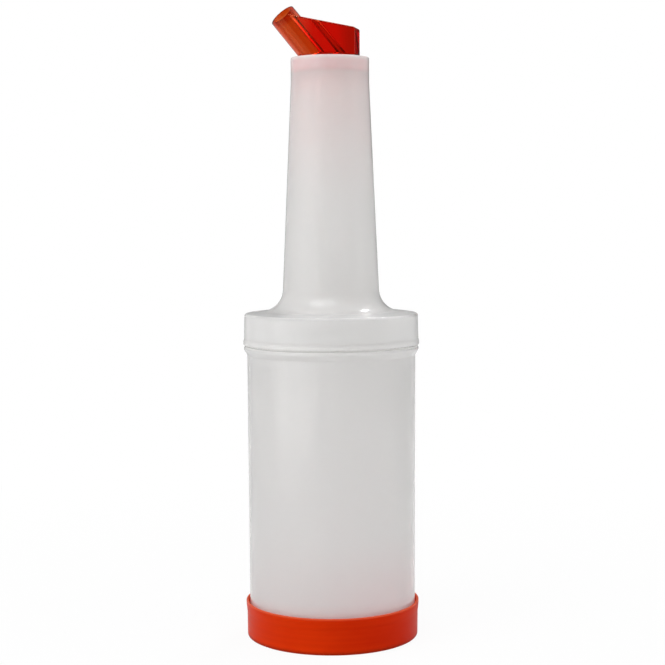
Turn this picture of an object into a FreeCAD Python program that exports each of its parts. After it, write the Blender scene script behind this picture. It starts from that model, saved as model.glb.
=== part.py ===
import FreeCAD, Part
import math
import os

# Speed pour bottle of one litre: a blow-moulded container that stands in a push-on base lid,
# a screw-on neck with a long slender cone, and a moulded pouring spout plugged into its mouth.
# Millimetres, +Z up. The origin is the middle of the underside of the base lid, on the axis
# of the bottle. The spout pours towards -X, turned a little about that axis.

# Container. Its body radius sets the width of the whole bottle.
BODY_RADIUS = 42.55
BODY_DRAFT = 0.4
BODY_HEIGHT = 142.2
CONTAINER_WALL = 1.6
CONTAINER_FLOOR = 1.8
FOOT_ROUNDING = 4.0
BEAD_RISE = 2.8
BEAD_DEPTH = 1.55
BEAD_BAND = 1.7
BEAD_ROUNDING = 1.0
FINISH_INSET = 0.6
FINISH_HEIGHT = 14.8
FINISH_ROUNDING = 0.5

# Base lid
FOOT_CLEARANCE = 0.15
LID_FLOOR = 1.4
LID_WALL = 1.15
LID_HEIGHT = 18.3
LID_FOOT_ROUNDING = 1.0
LID_DRAFT = 0.15
LID_FLARE = 0.45
LID_FLARE_HEIGHT = 3.9
LID_RIM_BAND = 1.9
LID_EDGE_ROUNDING = 0.4

# Neck
SCREW_CLEARANCE = 0.3
SKIRT_GAP = 0.7
SKIRT_WALL = 1.85
SKIRT_DRAFT = 0.3
SKIRT_LIP = 0.35
SKIRT_LIP_HEIGHT = 1.7
SKIRT_LIP_SLOPE = 1.3
SKIRT_EDGE_ROUNDING = 1.3
NECK_WALL = 1.7
SHOULDER_WALL = 1.5
SHOULDER_RISE = 2.3
SEAL_LAND = 2.7
FLARE_RADIUS = 24.7
FLARE_ROUNDING = 11.3
CONE_HEIGHT = 113.0
COLLAR_RADIUS = 19.6
COLLAR_HEIGHT = 12.4
RIM_ROUNDING = 0.35

# Spout plug
PLUG_LEDGE = 0.4
PLUG_CLEARANCE = 0.1
PLUG_RECESS = 0.3
PLUG_DEPTH = 7.0
PLUG_WALL = 1.6
CROWN_RISE = 3.3
CROWN_WALL = 1.6

# Spout tube, fin and air hole
SPOUT_TURN = 13.0
TUBE_TILT = 39.6
TUBE_MARGIN = 3.2
TUBE_LENGTH = 28.5
TUBE_RADIUS = 6.75
TUBE_DRAFT = 0.3
TUBE_WALL = 1.45
TUBE_EDGE_ROUNDING = 0.35
FIN_STEP = 0.75
FIN_MARGIN = 2.9
FIN_BACK_HEIGHT = 14.35
FIN_SLOPE = 12.2
FIN_ROUNDING = 1.0
FIN_EDGE_ROUNDING = 0.5
VENT_RADIUS = 1.7
VENT_WEB = 2.85

# Heights at which the pieces meet
container_base = LID_FLOOR
bead_base = container_base + BODY_HEIGHT
bead_top = bead_base + BEAD_RISE + BEAD_BAND
container_top = bead_top + FINISH_HEIGHT
skirt_base = bead_top + SKIRT_GAP
shoulder_edge = container_top + SHOULDER_WALL
flare_height = shoulder_edge + SHOULDER_RISE
collar_base = flare_height + CONE_HEIGHT
neck_top = collar_base + COLLAR_HEIGHT
crown_edge = neck_top - PLUG_RECESS
plug_seat = crown_edge - PLUG_DEPTH

# Radii that fit each other
foot_radius = BODY_RADIUS - BODY_DRAFT
lid_bore = foot_radius + FOOT_CLEARANCE
finish_radius = BODY_RADIUS - FINISH_INSET
skirt_bore = finish_radius + SCREW_CLEARANCE
cone_bore = COLLAR_RADIUS - NECK_WALL
collar_bore = cone_bore + PLUG_LEDGE
plug_radius = collar_bore - PLUG_CLEARANCE

AXIS = FreeCAD.Vector(0, 0, 1)
ORIGIN = FreeCAD.Vector(0, 0, 0)


def vector(radius, height):
    """A point of the section plane, where X is the radius and Z the height."""
    return FreeCAD.Vector(radius, 0, height)


def rounded_face(corners):
    """Face inside the closed outline of (x, z, rounding) corners, each rounded by a tangent arc."""
    starts, arcs, ends = [], [], []
    for index, (x, z, rounding) in enumerate(corners):
        corner = vector(x, z)
        before = vector(*corners[index - 1][:2]) - corner
        after = vector(*corners[(index + 1) % len(corners)][:2]) - corner
        half_angle = before.getAngle(after) / 2
        before.normalize()
        after.normalize()
        trim = rounding / math.tan(half_angle)
        starts.append(corner + before * trim)
        ends.append(corner + after * trim)
        if rounding:
            inward = (before + after).normalize()
            middle = corner + inward * (rounding / math.sin(half_angle) - rounding)
            arcs.append(Part.Arc(starts[-1], middle, ends[-1]).toShape())
        else:
            arcs.append(None)
    edges = []
    for index, arc in enumerate(arcs):
        if arc:
            edges.append(arc)
        edges.append(Part.makeLine(ends[index], starts[(index + 1) % len(corners)]))
    return Part.Face(Part.Wire(edges))


def turned(corners):
    """Solid of revolution about the bottle's axis with the given section."""
    return rounded_face(corners).revolve(ORIGIN, AXIS, 360)


def make_base_lid():
    """Shallow cup with a thin wall that flares into a straight rim around the container's foot."""
    waist_bore = lid_bore + LID_DRAFT
    rim_bore = waist_bore + LID_FLARE
    rim_start = LID_HEIGHT - LID_RIM_BAND
    waist = rim_start - LID_FLARE_HEIGHT
    return turned([
        (0, 0, 0),
        (lid_bore + LID_WALL, 0, LID_FOOT_ROUNDING),
        (waist_bore + LID_WALL, waist, 0),
        (rim_bore + LID_WALL, rim_start, 0),
        (rim_bore + LID_WALL, LID_HEIGHT, LID_EDGE_ROUNDING),
        (rim_bore, LID_HEIGHT, LID_EDGE_ROUNDING),
        (rim_bore, rim_start, 0),
        (waist_bore, waist, 0),
        (lid_bore, LID_FLOOR, LID_FOOT_ROUNDING),
        (0, LID_FLOOR, 0),
    ])


def make_container():
    """Straight-sided body with a bead below its mouth and a plain finish that the skirt covers."""
    bead_radius = BODY_RADIUS + BEAD_DEPTH
    mouth_radius = finish_radius - CONTAINER_WALL
    floor_top = container_base + CONTAINER_FLOOR
    return turned([
        (0, container_base, 0),
        (foot_radius, container_base, FOOT_ROUNDING),
        (BODY_RADIUS, bead_base, BEAD_ROUNDING),
        (bead_radius, bead_base + BEAD_RISE, BEAD_ROUNDING),
        (bead_radius, bead_top, BEAD_ROUNDING),
        (finish_radius, bead_top, 0),
        (finish_radius, container_top, FINISH_ROUNDING),
        (mouth_radius, container_top, FINISH_ROUNDING),
        (mouth_radius, bead_top, BEAD_ROUNDING),
        (BODY_RADIUS - CONTAINER_WALL, bead_base, BEAD_ROUNDING),
        (foot_radius - CONTAINER_WALL, floor_top, FOOT_ROUNDING - CONTAINER_WALL),
        (0, floor_top, 0),
    ])


def make_neck():
    """Skirt, flat shoulder that seals on the container's rim, flared foot, long cone and collar."""
    skirt_radius = skirt_bore + SKIRT_WALL
    lip_radius = skirt_radius + SKIRT_LIP
    lip_top = skirt_base + SKIRT_LIP_HEIGHT
    return turned([
        (skirt_bore, skirt_base, 0),
        (lip_radius, skirt_base, RIM_ROUNDING),
        (lip_radius, lip_top, RIM_ROUNDING),
        (skirt_radius, lip_top + SKIRT_LIP_SLOPE, RIM_ROUNDING),
        (skirt_radius - SKIRT_DRAFT, shoulder_edge, SKIRT_EDGE_ROUNDING),
        (FLARE_RADIUS, flare_height, FLARE_ROUNDING),
        (COLLAR_RADIUS, collar_base, 0),
        (COLLAR_RADIUS, neck_top, RIM_ROUNDING),
        (collar_bore, neck_top, RIM_ROUNDING),
        (collar_bore, plug_seat, 0),
        (cone_bore, plug_seat, 0),
        (cone_bore, collar_base, 0),
        (FLARE_RADIUS - NECK_WALL, flare_height - SHOULDER_WALL, FLARE_ROUNDING + NECK_WALL),
        (skirt_bore - SEAL_LAND, container_top, 0),
        (skirt_bore, container_top, 0),
    ])


def capped_cylinder(radius, base, edge_height, rise):
    """Cylinder from base to edge_height under a spherical cap that rises by the given height."""
    cap_radius = (radius ** 2 + rise ** 2) / (2 * rise)
    cap = Part.makeSphere(cap_radius, vector(0, edge_height + rise - cap_radius))
    return Part.makeCylinder(radius, edge_height + rise - base, vector(0, base)).common(cap)


def make_fin(foot, back, width, tilt):
    """Flat-sided fin from the tube's slanted line through foot to its upright back."""
    fall = math.tan(math.radians(FIN_SLOPE))
    back_top = neck_top + FIN_BACK_HEIGHT
    run = (back - foot + FIN_BACK_HEIGHT * math.tan(tilt)) / (1 - fall * math.tan(tilt))
    profile = rounded_face([
        (back, crown_edge, 0),
        (back, back_top, FIN_ROUNDING),
        (back - run, back_top + run * fall, 0),
        (foot, crown_edge, 0),
    ])
    profile.translate(FreeCAD.Vector(0, -width / 2, 0))
    fin = profile.extrude(FreeCAD.Vector(0, width, 0))
    side_edges = [edge for edge in fin.Edges
                  if abs(edge.CenterOfMass.y) > width / 2 - FIN_EDGE_ROUNDING
                  and edge.BoundBox.XMax > back - FIN_ROUNDING - FIN_EDGE_ROUNDING
                  and edge.BoundBox.ZMax > back_top - FIN_ROUNDING - FIN_EDGE_ROUNDING]
    return fin.makeFillet(FIN_EDGE_ROUNDING, side_edges)


def make_spout():
    """One moulding: a crowned plug, a slanted pouring tube and a flat fin with an air hole in it."""
    plug = capped_cylinder(plug_radius, plug_seat, crown_edge, CROWN_RISE)
    hollow = capped_cylinder(plug_radius - PLUG_WALL, plug_seat - PLUG_DEPTH,
                             crown_edge - CROWN_WALL, CROWN_RISE)

    # The tube starts inside the plug and its bore opens into the plug's hollow.
    tilt = math.radians(TUBE_TILT)
    along = FreeCAD.Vector(-math.sin(tilt), 0, math.cos(tilt))
    across = FreeCAD.Vector(math.cos(tilt), 0, math.sin(tilt))
    axis_foot = vector(TUBE_MARGIN + TUBE_RADIUS / math.cos(tilt) - plug_radius, neck_top)
    root = axis_foot - along * PLUG_DEPTH
    tip = axis_foot + along * TUBE_LENGTH
    tube_length = PLUG_DEPTH + TUBE_LENGTH
    root_radius = TUBE_RADIUS + tube_length * math.tan(math.radians(TUBE_DRAFT))
    bore = Part.makeCylinder(TUBE_RADIUS - TUBE_WALL, tube_length, root, along)
    tube = Part.makeCone(root_radius, TUBE_RADIUS, tube_length, root, along).cut(bore)
    mouth = [edge for edge in tube.Edges
             if edge.CenterOfMass.distanceToPoint(tip) < TUBE_EDGE_ROUNDING]
    tube = tube.makeFillet(TUBE_EDGE_ROUNDING, mouth)

    # The fin ends inside the tube, halfway from its axis to where the flat sides meet its surface.
    half_width = TUBE_RADIUS - FIN_STEP
    inset = math.sqrt(TUBE_RADIUS ** 2 - half_width ** 2) / 2
    fin_foot = axis_foot.x + inset / math.cos(tilt)
    fin_back = math.sqrt((plug_radius - FIN_MARGIN) ** 2 - half_width ** 2)
    fin = make_fin(fin_foot, fin_back, 2 * half_width, tilt)

    # The air hole runs beside the tube through the fin, from its top to the plug's hollow.
    vent_root = root - along * PLUG_DEPTH + across * (TUBE_RADIUS + VENT_WEB + VENT_RADIUS)
    vent = Part.makeCylinder(VENT_RADIUS, PLUG_DEPTH + tube_length, vent_root, along)

    solid = plug.fuse([tube, fin]).cut([hollow, bore, vent]).removeSplitter()
    solid.rotate(ORIGIN, AXIS, -SPOUT_TURN)
    return solid.Solids[0]


os.makedirs("parts", exist_ok=True)
for name, shape in (
    ("base_lid", make_base_lid()),
    ("container", make_container()),
    ("neck", make_neck()),
    ("spout", make_spout()),
):
    shape.exportStep("parts/" + name + ".step")
    print(name, "valid" if shape.isValid() else "not valid", round(shape.Volume / 1000, 2), "cm3")
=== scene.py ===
import bmesh
import bpy
import math
from mathutils import Matrix, Vector


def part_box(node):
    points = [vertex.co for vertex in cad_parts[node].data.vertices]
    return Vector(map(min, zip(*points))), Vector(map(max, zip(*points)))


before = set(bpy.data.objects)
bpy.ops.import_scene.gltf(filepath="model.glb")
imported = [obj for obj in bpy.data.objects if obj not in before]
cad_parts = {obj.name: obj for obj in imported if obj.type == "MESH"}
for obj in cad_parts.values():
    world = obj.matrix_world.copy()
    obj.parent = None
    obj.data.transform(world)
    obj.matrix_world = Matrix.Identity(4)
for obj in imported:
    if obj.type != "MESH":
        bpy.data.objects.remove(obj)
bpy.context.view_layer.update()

# Base lid. The storage lid, pushed onto the foot of the container while the spout is in use. It
# is injection moulded in orange-red polyethylene, with a satin skin and faint flow marks that
# run round the wall. Its right side is painted darker as shade. Its rim is scuffed and painted
# lighter as a highlight, and its foot is painted darker as shade where it stands. Its inner face
# is painted lighter as light.

MM = 0.001
LID_RED = (0.68, 0.036, 0.0025, 1)
LID_RED_DEEP_AND_SHADED = (0.52, 0.018, 0.0015, 1)
LID_SCUFF_AND_HIGHLIGHT = (0.70, 0.12, 0.05, 1)
LID_FOOT_SHADE = (0.30, 0.020, 0.004, 1)
LID_LIT_INSIDE = (0.95, 0.12, 0.03, 1)
NOISE_RANGE = (0.2, 0.8)
CLOUD_SCALE = 38.0
CLOUD_STRETCH = (1, 1, 2.5)
CLOUD_SHARE = 0.3
FLOW_SCALE = 25.0
FLOW_STRETCH = (0.3, 0.3, 18)
FLOW_SHARE = (-0.05, 0.2)
FLOW_ROUGHNESS = (0.42, 0.34)
SHADED_SIDE = (-20 * MM, 26 * MM)
SHADED_SIDE_SHARE = (0.0, 0.7)
RIM_SCUFF_AND_HIGHLIGHT_DEPTH = 1.2 * MM
RIM_EDGE = 0.1 * MM
RIM_SCUFF_AND_HIGHLIGHT_SHARE = 0.7
FOOT_SHADE_FULL = 0.4 * MM
FOOT_SHADE_TOP = 2.6 * MM
FOOT_SHADE_SHARE = 0.8
INNER_EDGE_LIT = 1.1 * MM
INNER_EDGE_UNLIT = 0.8 * MM
LID_GRAIN_SCALE = 1400.0
LID_GRAIN_RELIEF = 0.12
GRAIN_DEPTH = 0.05 * MM


def feed(tree, socket, source):
    """Gives a socket a value, or links it to another node's output."""
    if isinstance(source, bpy.types.NodeSocket):
        tree.links.new(source, socket)
    else:
        socket.default_value = source


def add(tree, kind, sources=(), **settings):
    """A node with its settings and with its inputs fed by name or by number."""
    node = tree.nodes.new(kind)
    for key, value in settings.items():
        setattr(node, key, value)
    for key, source in dict(sources).items():
        feed(tree, node.inputs[key], source)
    return node


def new_material(name, kind="ShaderNodeBsdfPrincipled", **socket_values):
    """A material with one shader, whose even values are set on the shader's own sockets."""
    material = bpy.data.materials.new(name)
    material.use_nodes = True
    tree = material.node_tree
    tree.nodes.clear()
    values = {socket.replace("_", " "): value for socket, value in socket_values.items()}
    shader = add(tree, kind, values)
    output = add(tree, "ShaderNodeOutputMaterial", {"Surface": shader.outputs[0]})
    return material, tree, shader, output


def place(tree):
    """Where each point lies in the piece's own space, which is the bottle's space."""
    return add(tree, "ShaderNodeTexCoord").outputs["Object"]


def rightward(tree):
    """How far each point lies to the right of the bottle's axis."""
    return add(tree, "ShaderNodeSeparateXYZ", {"Vector": place(tree)}).outputs["X"]


def height(tree):
    """How far each point lies above what the bottle stands on."""
    return add(tree, "ShaderNodeSeparateXYZ", {"Vector": place(tree)}).outputs["Z"]


def radius(tree):
    """How far each point lies from the bottle's axis."""
    level = add(tree, "ShaderNodeVectorMath", {0: place(tree), 1: (1, 1, 0)},
                operation="MULTIPLY").outputs[0]
    return add(tree, "ShaderNodeVectorMath", {0: level}, operation="LENGTH").outputs["Value"]


def noise(tree, scale, detail=3.0, stretch=(1, 1, 1)):
    """Noise in the piece's own space, drawn out along the axes whose stretch is small."""
    mapping = add(tree, "ShaderNodeMapping", {"Vector": place(tree), "Scale": stretch})
    return add(tree, "ShaderNodeTexNoise", {"Vector": mapping.outputs["Vector"],
                                            "Scale": scale, "Detail": detail}).outputs["Fac"]


def ramp(tree, value, low, high, to_low=0.0, to_high=1.0):
    """The value's range low..high carried to to_low..to_high, eased, and held at both ends."""
    return add(tree, "ShaderNodeMapRange",
               {"Value": value, "From Min": low, "From Max": high,
                "To Min": to_low, "To Max": to_high},
               interpolation_type="SMOOTHSTEP").outputs["Result"]


def combine(tree, operation, first, second):
    """Two values added, multiplied or compared."""
    return add(tree, "ShaderNodeMath", {0: first, 1: second}, operation=operation).outputs[0]


def tint(tree, amount, first, second):
    """The first colour where the amount is 0, and the second where it is 1."""
    return add(tree, "ShaderNodeMix", {0: amount, 6: first, 7: second},
               data_type="RGBA").outputs[2]


def relief(tree, rise, strength, depth):
    """A normal roughened by the rise, whose full range stands for the depth."""
    return add(tree, "ShaderNodeBump",
               {"Height": rise, "Strength": strength, "Distance": depth}).outputs[0]


lid_low, lid_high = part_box("base_lid")
lid_plastic, tree, shader, _ = new_material(
    "lid_polyethylene", IOR=1.51, Specular_IOR_Level=0.05, Specular_Tint=(1.0, 0.3, 0.1, 1),
    Subsurface_Weight=0.2, Subsurface_Radius=(1.0, 0.25, 0.1), Subsurface_Scale=1.5 * MM)
cloud = ramp(tree, noise(tree, CLOUD_SCALE, stretch=CLOUD_STRETCH), *NOISE_RANGE)
flow = ramp(tree, noise(tree, FLOW_SCALE, stretch=FLOW_STRETCH), *NOISE_RANGE)
streaks = combine(tree, "ADD", ramp(tree, flow, 0.0, 1.0, *FLOW_SHARE),
                  combine(tree, "MULTIPLY", cloud, CLOUD_SHARE))
# Painted shade: the lid's right side is painted a deeper red, added to the flow marks.
side = ramp(tree, rightward(tree), *SHADED_SIDE, *SHADED_SIDE_SHARE)
colour = tint(tree, combine(tree, "ADD", streaks, side), LID_RED, LID_RED_DEEP_AND_SHADED)
# The rim is scuffed, and painted lighter as a highlight along its top.
rim = ramp(tree, height(tree), lid_high.z - RIM_SCUFF_AND_HIGHLIGHT_DEPTH, lid_high.z - RIM_EDGE)
colour = tint(tree, combine(tree, "MULTIPLY", rim, RIM_SCUFF_AND_HIGHLIGHT_SHARE), colour, LID_SCUFF_AND_HIGHLIGHT)
# Painted shade: the lid's foot is painted darker where it stands on the floor.
foot = ramp(tree, height(tree), lid_low.z + FOOT_SHADE_FULL, lid_low.z + FOOT_SHADE_TOP, FOOT_SHADE_SHARE, 0.0)
colour = tint(tree, foot, colour, LID_FOOT_SHADE)
# Painted light: the lid's inner face, in the narrow gap under its rim, is painted lighter.
inside = ramp(tree, radius(tree), lid_high.x - INNER_EDGE_LIT, lid_high.x - INNER_EDGE_UNLIT,
              1.0, 0.0)
colour = tint(tree, inside, colour, LID_LIT_INSIDE)
feed(tree, shader.inputs["Base Color"], colour)
feed(tree, shader.inputs["Roughness"], ramp(tree, flow, 0.0, 1.0, *FLOW_ROUGHNESS))
grain = combine(tree, "ADD", noise(tree, LID_GRAIN_SCALE), flow)
feed(tree, shader.inputs["Normal"], relief(tree, grain, LID_GRAIN_RELIEF, GRAIN_DEPTH))
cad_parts["base_lid"].data.materials[0] = lid_plastic

# Container. The blow-moulded body of natural polyethylene: milky, so that light passes through
# it and what is behind it is only a blur. Its wall is a little thicker and thinner in upright
# bands, as a parison stretches, and its skin is smooth where it cooled against the mould.

MILKY = (0.925, 0.917, 0.908, 1)
MILKY_THICK = (0.895, 0.887, 0.877, 1)
MILKY_JOINT_PAINTED_LIGHT = (1.0, 0.995, 0.985, 1)
SEEN_THROUGH = 0.5
BAND_ROUGHNESS = (0.55, 0.65)
WAVES_PER_BAND = 2.5
WAVE_SHARE = 3.0
SKIN_GRAIN_SCALE = 700.0
SKIN_RELIEF = 0.06
JOINT_HALF_HEIGHT = 2.4 * MM
JOINT_DEPTH = 1.2 * MM
JOINT_EDGE = JOINT_DEPTH / 6
BACKING_FOOT_FADE = 2 * MM
BACKING_TOP_FADE = 1 * MM

neck_low, neck_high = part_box("neck")


def milky_polyethylene(name, skin_roughness, band_scale, band_stretch, painted_glow, painted_glow_colour,
                       backing):
    """Natural polyethylene: rough inside, where the light scatters, under a smooth moulded skin.
    The painted glow says how strongly the light of a coloured part close by is painted onto it
    as a tint. In the joint under the skirt it is painted paler, as painted light that stands for
    the light reaching it through both walls, and lets no view through. Each backing is the foot
    and top of a part behind the wall, and how much of the view that part shuts out."""
    material, tree, shader, _ = new_material(
        name, IOR=1.52, Specular_IOR_Level=0.1,
        Subsurface_Radius=(1.0, 1.0, 1.0), Subsurface_Scale=4 * MM,
        Coat_Weight=1.0, Coat_Roughness=skin_roughness, Coat_IOR=1.45)
    from_joint = combine(tree, "ABSOLUTE",
                         combine(tree, "SUBTRACT", height(tree), neck_low.z), 0.0)
    joint = combine(tree, "MULTIPLY",
                    ramp(tree, from_joint, JOINT_HALF_HEIGHT / 2, JOINT_HALF_HEIGHT, 1.0, 0.0),
                    ramp(tree, radius(tree), neck_high.x - JOINT_DEPTH, neck_high.x - JOINT_EDGE,
                         1.0, 0.0))
    bands = ramp(tree, noise(tree, band_scale, 1.0, stretch=band_stretch), 0.0, 1.0)
    # Painted glow: the light of a coloured part close by, painted onto the wall as a tint.
    colour = tint(tree, painted_glow(tree), tint(tree, bands, MILKY, MILKY_THICK), painted_glow_colour)
    # Painted light: the joint under the skirt is painted paler, where it would lie in shade.
    feed(tree, shader.inputs["Base Color"], tint(tree, joint, colour, MILKY_JOINT_PAINTED_LIGHT))
    feed(tree, shader.inputs["Subsurface Weight"], ramp(tree, joint, 0.0, 1.0, 1.0, 0.0))
    closed = joint
    for low, high, amount in backing:
        band = combine(tree, "MULTIPLY",
                       ramp(tree, height(tree), low - BACKING_FOOT_FADE, low + BACKING_FOOT_FADE,
                            0.0, amount),
                       ramp(tree, height(tree), high - BACKING_TOP_FADE, high + BACKING_TOP_FADE,
                            1.0, 0.0))
        closed = combine(tree, "MAXIMUM", closed, band)
    feed(tree, shader.inputs["Transmission Weight"],
         ramp(tree, closed, 0.0, 1.0, SEEN_THROUGH, 0.0))
    feed(tree, shader.inputs["Roughness"], ramp(tree, bands, 0.0, 1.0, *BAND_ROUGHNESS))
    waves = noise(tree, band_scale * WAVES_PER_BAND, 1.0, stretch=band_stretch)
    rise = combine(tree, "ADD", noise(tree, SKIN_GRAIN_SCALE),
                   combine(tree, "MULTIPLY", waves, WAVE_SHARE))
    skin = relief(tree, rise, SKIN_RELIEF, GRAIN_DEPTH)
    feed(tree, shader.inputs["Normal"], skin)
    feed(tree, shader.inputs["Coat Normal"], skin)
    return material


LID_GLOW_PINK = (0.92, 0.75, 0.755, 1)
PINK_SIDE = (-20 * MM, 40 * MM)
PINK_SIDE_SHARE = (0.2, 0.7)
PINK_NEAR_HEIGHT = 7 * MM
PINK_NEAR_SHARE = 0.45
PINK_FAR_HEIGHT = 42 * MM


def lid_painted_glow(tree):
    """The lid's red light painted up the wall from its rim as a pink glow, stronger on the
    right.
    """
    side = ramp(tree, rightward(tree), *PINK_SIDE, *PINK_SIDE_SHARE)
    near = ramp(tree, height(tree), lid_high.z, lid_high.z + PINK_NEAR_HEIGHT,
                PINK_NEAR_SHARE, 0.0)
    far = ramp(tree, height(tree), lid_high.z, lid_high.z + PINK_FAR_HEIGHT, 1.0, 0.0)
    return combine(tree, "ADD", near, combine(tree, "MULTIPLY", far, side))


BEHIND_LID = 0.85
BELOW_SKIRT = 0.3
BELOW_SKIRT_HEIGHT = 9 * MM
# The lid's red light is painted up the wall as a pink glow.
container_plastic = milky_polyethylene(
    "container_polyethylene", skin_roughness=0.08, band_scale=34.0, band_stretch=(1, 1, 0.12),
    painted_glow=lid_painted_glow, painted_glow_colour=LID_GLOW_PINK,
    backing=[(lid_low.z, lid_high.z, BEHIND_LID),
             (neck_low.z - BELOW_SKIRT_HEIGHT, neck_low.z, BELOW_SKIRT)])
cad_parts["container"].data.materials[0] = container_plastic

# Neck. Injection moulded in the same natural polyethylene and screwed over the container's
# mouth. The light of the spout's plug, seen through the collar, is painted on as a pink band,
# and this painted glow carries on down the cone.

PLUG_GLOW_PINK = (0.99, 0.52, 0.52, 1)
PATCH_SCALE = 70.0
PATCH_SHARE = (0.85, 1.15)
PLUG_SIDE_SHARE = (1.15, 0.95)

plug_low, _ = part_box("spout")
_, container_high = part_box("container")

# Each step of the pink up the wall: where it starts, where it ends, and what it adds.
PLUG_PINK_STEPS = (
    (plug_low.z - 1.5 * MM, plug_low.z + 1.5 * MM, 0.42),
    (neck_high.z - 2.5 * MM, neck_high.z - 0.5 * MM, -0.27),
    (plug_low.z - 14 * MM, plug_low.z, 0.11),
    (plug_low.z - 70 * MM, plug_low.z, 0.16),
)


def plug_painted_glow(tree):
    """The plug's red light seen through the collar, painted on as a pink band that fades down
    the cone, slightly patchy.
    """
    pink = 0.0
    for start, end, share in PLUG_PINK_STEPS:
        pink = combine(tree, "ADD", pink, ramp(tree, height(tree), start, end, 0.0, share))
    patchy = ramp(tree, noise(tree, PATCH_SCALE, 1.0), *NOISE_RANGE, *PATCH_SHARE)
    side = ramp(tree, rightward(tree), neck_low.x / 2, 0.0, *PLUG_SIDE_SHARE)
    return combine(tree, "MULTIPLY", pink, combine(tree, "MULTIPLY", patchy, side))


BEHIND_COLLAR = 0.6
ABOVE_COLLAR = 2 * MM
BEHIND_SKIRT = 0.4
ABOVE_SKIRT_FOOT = 3 * MM
# The plug's red light is painted onto the collar and cone as a pink glow.
neck_plastic = milky_polyethylene(
    "neck_polyethylene", skin_roughness=0.16, band_scale=30.0, band_stretch=(1, 1, 0.3),
    painted_glow=plug_painted_glow, painted_glow_colour=PLUG_GLOW_PINK,
    backing=[(plug_low.z, neck_high.z + ABOVE_COLLAR, BEHIND_COLLAR),
             (neck_low.z + ABOVE_SKIRT_FOOT, container_high.z, BEHIND_SKIRT)])
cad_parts["neck"].data.materials[0] = neck_plastic

# Pouring spout. One clear moulding in orange-red styrene, pushed into the collar by its plug.
# Its colour comes from the depth of the plastic: orange in the tube's thin wall and deep red
# through the solid fin. The tube's mouth is painted a darker red as shade along its rim, and the
# fin's far end is painted darker as shade.

STYRENE = (0.70, 0.35, 0.095, 1)
STYRENE_CLOUDED = (0.67, 0.32, 0.08, 1)
STYRENE_SHADED = (0.44, 0.50, 0.15, 1)
STYRENE_MOUTH_SHADE = (0.50, 0.08, 0.005, 1)
STYRENE_DYE = (0.955, 0.02, 0.0, 1)
DYE_DENSITY = 440.0
TUBE_TILT = math.radians(39.6)
SPOUT_TURN = math.radians(13.0)
MOUTH_SHADE_START = 5 * MM
MOUTH_SHADE_FULL = 1.5 * MM
SHADED_FIN_END = (3 * MM, 11 * MM)
SHADED_FIN_END_SHARE = (0.0, 0.9)
HAZE_SCALE = 120.0
HAZE_ROUGHNESS = (0.03, 0.08)
RIPPLE_SCALE = 160.0
RIPPLE_RELIEF = 0.06
RIPPLE_DEPTH = 0.2 * MM

spout_plastic, tree, shader, output = new_material(
    "spout_styrene", IOR=1.59, Specular_IOR_Level=0.25, Specular_Tint=(1.0, 0.5, 0.2, 1),
    Transmission_Weight=1.0)
haze = ramp(tree, noise(tree, HAZE_SCALE), *NOISE_RANGE)
tube_line = Vector((-math.sin(TUBE_TILT) * math.cos(SPOUT_TURN),
                    math.sin(TUBE_TILT) * math.sin(SPOUT_TURN),
                    math.cos(TUBE_TILT)))
mouth = max(tube_line.dot(vertex.co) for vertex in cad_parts["spout"].data.vertices)
up_tube = add(tree, "ShaderNodeVectorMath", {0: place(tree), 1: tube_line},
              operation="DOT_PRODUCT").outputs["Value"]
# Painted shade: the tube's mouth is painted a darker red along its rim.
mouth_shade = ramp(tree, up_tube, mouth - MOUTH_SHADE_START, mouth - MOUTH_SHADE_FULL)
# Painted shade: the fin's far end is painted darker.
shaded_fin_end = ramp(tree, rightward(tree), *SHADED_FIN_END, *SHADED_FIN_END_SHARE)
colour = tint(tree, haze, STYRENE, STYRENE_CLOUDED)
colour = tint(tree, mouth_shade, tint(tree, shaded_fin_end, colour, STYRENE_SHADED), STYRENE_MOUTH_SHADE)
feed(tree, shader.inputs["Base Color"], colour)
feed(tree, shader.inputs["Roughness"], ramp(tree, haze, 0.0, 1.0, *HAZE_ROUGHNESS))
feed(tree, shader.inputs["Normal"],
     relief(tree, noise(tree, RIPPLE_SCALE), RIPPLE_RELIEF, RIPPLE_DEPTH))
dye = add(tree, "ShaderNodeVolumeAbsorption", {"Color": STYRENE_DYE, "Density": DYE_DENSITY})
feed(tree, output.inputs["Volume"], dye.outputs["Volume"])
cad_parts["spout"].data.materials[0] = spout_plastic

# Studio. A white floor runs back into a white background. Large softboxes stand on the left,
# on the right and above, with a small strong lamp behind. A low window on the left and a ring
# of cards, one of them dark, show only in the gloss.

WHITE = (1, 1, 1, 1)
FLOOR_WHITE = (0.80, 0.80, 0.80, 1)
FLOOR_RADIUS = 3.0
FLOOR_IN_GLOSS = 0.3
GLOW_NEAR = 0.93
GLOW_FAR = 1.0
SHADOW_REACH = 0.5
ROOM_LIGHT = 0.513
WORLD_IN_GLOSS = 1.0

solid = bmesh.new()
bmesh.ops.create_circle(solid, cap_ends=True, segments=96, radius=FLOOR_RADIUS)
floor_mesh = bpy.data.meshes.new("floor")
solid.to_mesh(floor_mesh)
solid.free()
floor = bpy.data.objects.new("floor", floor_mesh)
bpy.context.scene.collection.objects.link(floor)


def seen_as_background(tree, in_gloss):
    """1 for a camera or transmission ray, in_gloss for a glossy one, 0 for rays that light."""
    rays = add(tree, "ShaderNodeLightPath").outputs
    glossy = combine(tree, "MULTIPLY", rays["Is Glossy Ray"], in_gloss)
    seen = combine(tree, "MAXIMUM", rays["Is Camera Ray"], glossy)
    return combine(tree, "MAXIMUM", seen, rays["Is Transmission Ray"])


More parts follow.
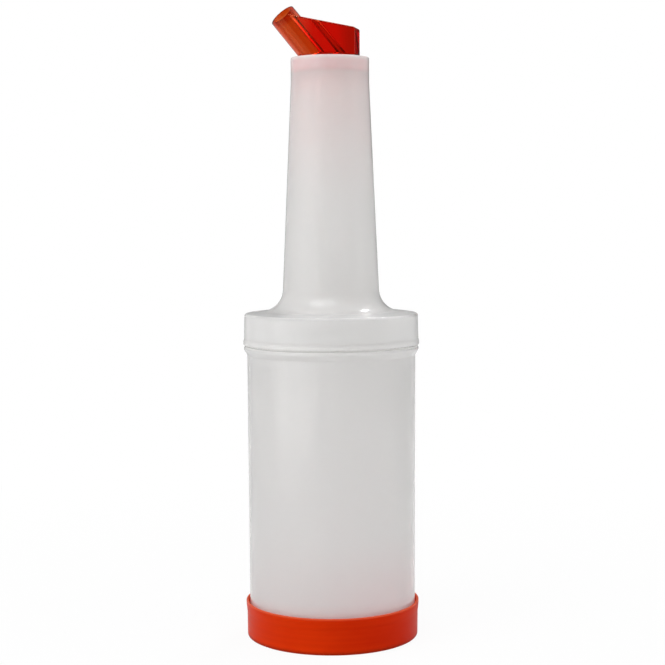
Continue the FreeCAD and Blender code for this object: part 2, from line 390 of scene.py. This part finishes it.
floor_paper, tree, shader, output = new_material(
    "floor_paper", Base_Color=FLOOR_WHITE, Roughness=0.9)
glow = add(tree, "ShaderNodeEmission", {"Color": WHITE, "Strength": 1.0}).outputs[0]
glow_share = ramp(tree, radius(tree), 0.0, SHADOW_REACH, GLOW_NEAR, GLOW_FAR)
share = combine(tree, "MULTIPLY", seen_as_background(tree, FLOOR_IN_GLOSS), glow_share)
paper_and_glow = add(tree, "ShaderNodeMixShader", {0: share, 1: shader.outputs[0], 2: glow})
feed(tree, output.inputs["Surface"], paper_and_glow.outputs[0])
floor.data.materials.append(floor_paper)

world = bpy.data.worlds.new("studio")
bpy.context.scene.world = world
world.use_nodes = True
tree = world.node_tree
tree.nodes.clear()
strength = ramp(tree, seen_as_background(tree, WORLD_IN_GLOSS), 0.0, 1.0, ROOM_LIGHT, 1.0)
background = add(tree, "ShaderNodeBackground", {"Color": WHITE, "Strength": strength})
add(tree, "ShaderNodeOutputWorld", {"Surface": background.outputs[0]})

# Each card: its first and last azimuth in degrees from the front, positive to the right, its
# foot and top, and its radiance. Where two overlap, the one named first stands in front.
CARD_RADIUS = 1.6
CARDS = (
    ("card_dark", 142, 170, 0.38, 0.70, 0.02),
    ("card_front", -60, 60, 0.0, CARD_RADIUS, 0.1),
    ("card_left", -110, -60, 0.0, CARD_RADIUS, 0.85),
    ("card_right", 60, 110, 0.0, CARD_RADIUS, 0.8),
    ("card_back_left", -158, -110, 0.0, CARD_RADIUS, 0.75),
    ("card_back_right", 110, 142, 0.0, CARD_RADIUS, 0.7),
    ("card_back", -180, 180, 0.0, CARD_RADIUS, 0.35),
)
solid = bmesh.new()
bmesh.ops.create_uvsphere(solid, u_segments=64, v_segments=32, radius=CARD_RADIUS)
under = [face for face in solid.faces if face.calc_center_median().z < 0]
bmesh.ops.delete(solid, geom=under, context="FACES")
for face in solid.faces:
    middle = face.calc_center_median()
    azimuth = math.degrees(math.atan2(middle.x, -middle.y))
    face.material_index = next(i for i, (_, first, last, foot, top, _) in enumerate(CARDS)
                               if first <= azimuth <= last and foot <= middle.z <= top)
card_mesh = bpy.data.meshes.new("cards")
solid.to_mesh(card_mesh)
solid.free()
for name, *_, radiance in CARDS:
    card, *_ = new_material(name, "ShaderNodeEmission", Color=WHITE, Strength=radiance)
    card_mesh.materials.append(card)
cards = bpy.data.objects.new("cards", card_mesh)
bpy.context.scene.collection.objects.link(cards)
cards.visible_camera = False
cards.visible_diffuse = False
cards.visible_shadow = False
cards.visible_transmission = False


def softbox(name, azimuth, distance, up, width, tall, radiance, aim, lights=True,
            in_gloss=True):
    """A softbox of even radiance at an azimuth from the front, positive to the right, facing
    the axis at the height of its aim."""
    angle = math.radians(azimuth)
    stand = Vector((distance * math.sin(angle), -distance * math.cos(angle), up))
    data = bpy.data.lights.new(name, "AREA")
    data.shape = "RECTANGLE"
    data.size = width
    data.size_y = tall
    data.energy = radiance * math.pi * width * tall
    box = bpy.data.objects.new(name, data)
    facing = (Vector((0, 0, aim)) - stand).to_track_quat("-Z", "Y")
    box.matrix_world = Matrix.Translation(stand) @ facing.to_matrix().to_4x4()
    box.visible_camera = False
    box.visible_glossy = in_gloss
    box.visible_diffuse = box.visible_transmission = lights
    bpy.context.scene.collection.objects.link(box)


softbox("softbox_left", azimuth=-51, distance=0.42, up=0.26, width=0.36, tall=0.50,
        radiance=0.72, aim=0.26)
softbox("window_left", azimuth=-47, distance=0.42, up=0.08, width=0.485, tall=0.085,
        radiance=0.75, aim=0.08, lights=False)
softbox("softbox_right", azimuth=75, distance=0.8, up=0.35, width=0.5, tall=0.7,
        radiance=1.35, aim=0.15, in_gloss=False)
softbox("softbox_above", azimuth=-30, distance=0.5, up=1.0, width=0.8, tall=0.6,
        radiance=3.4, aim=0.15)
softbox("lamp_behind", azimuth=155, distance=0.67, up=0.963, width=0.22, tall=0.09,
        radiance=42.0, aim=0.165)

CAMERA_LENS = 84.88
CAMERA_SENSOR_WIDTH = 36.0
CAMERA_PLACE = Vector((0.00065, -0.7917, 0.2148))
CAMERA_PITCH = math.radians(4.354)
CAMERA_ROLL = math.radians(-0.29)
camera_data = bpy.data.cameras.new("camera")
camera_data.lens = CAMERA_LENS
camera_data.sensor_width = CAMERA_SENSOR_WIDTH
camera = bpy.data.objects.new("camera", camera_data)
camera.matrix_world = (Matrix.Translation(CAMERA_PLACE)
                       @ Matrix.Rotation(math.pi / 2 - CAMERA_PITCH, 4, "X")
                       @ Matrix.Rotation(CAMERA_ROLL, 4, "Z"))
bpy.context.scene.collection.objects.link(camera)
bpy.context.scene.camera = camera
bpy.context.scene.view_settings.view_transform = "Standard"

BOUNCES_THROUGH_WALLS = 24
BOUNCES_IN_MILKY_WALLS = 10
bpy.context.scene.cycles.max_bounces = BOUNCES_THROUGH_WALLS
bpy.context.scene.cycles.transmission_bounces = BOUNCES_THROUGH_WALLS
bpy.context.scene.cycles.diffuse_bounces = BOUNCES_IN_MILKY_WALLS
